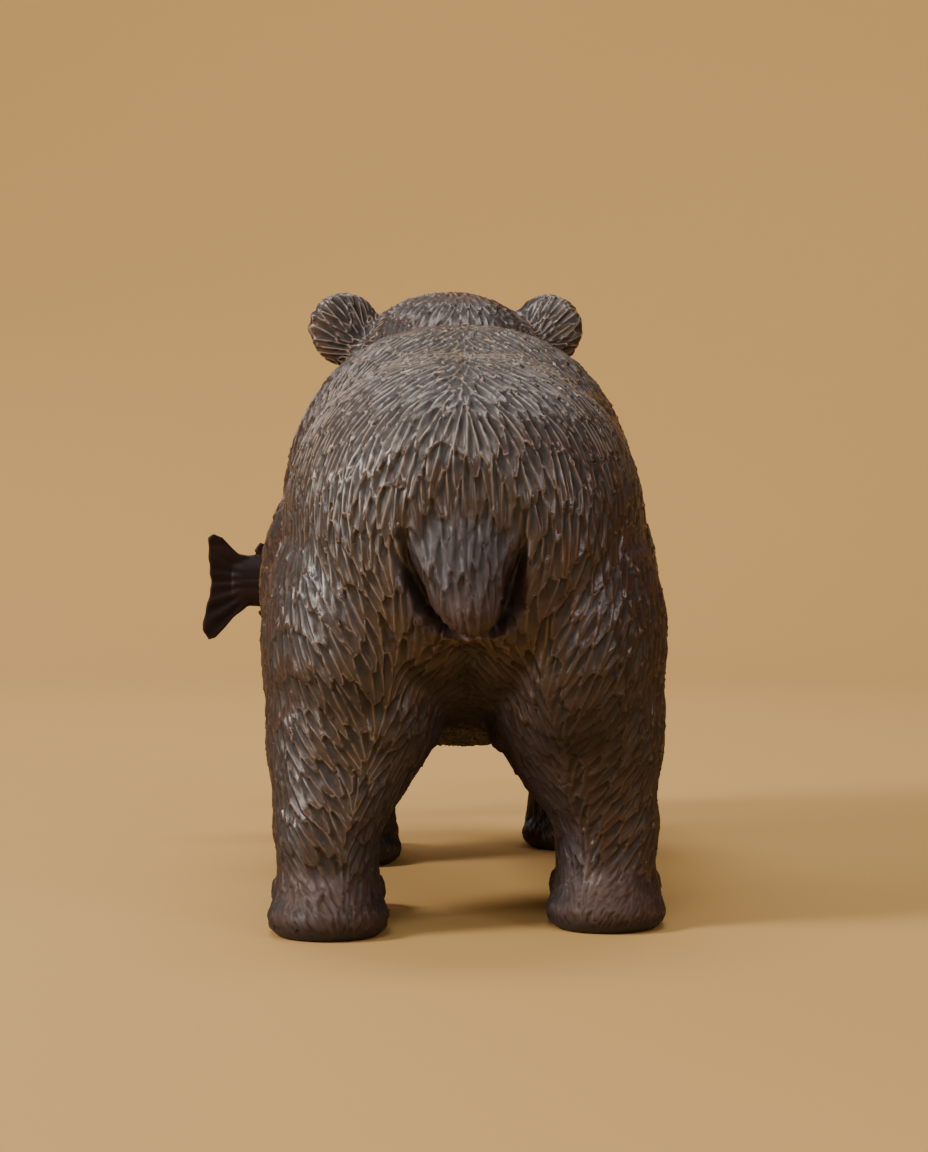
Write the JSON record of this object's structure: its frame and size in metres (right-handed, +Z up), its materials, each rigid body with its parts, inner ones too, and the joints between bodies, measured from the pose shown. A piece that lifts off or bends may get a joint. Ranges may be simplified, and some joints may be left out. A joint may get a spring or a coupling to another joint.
{
  "type": "carved bear statue",
  "caption": "Dark wooden bear walking on all fours with a smooth salmon held crosswise in its mouth, cut all over with gouge-carved fur, standing on its own flat soles.",
  "frame": {"origin": "on the ground under the middle of the whole figure's box", "axes": "+Y the way the bear faces, +X to the bear's right, +Z up"},
  "size_m": [0.1852, 0.3528, 0.2201],
  "materials": {
    "bear_wood": "dark stain, waxed, satin",
    "salmon_wood": "darker stain, smooth, satin"
  },
  "bodies": {
    "root": {"bear": "bear_wood", "salmon": "salmon_wood"}
  },
  "joints": []
}
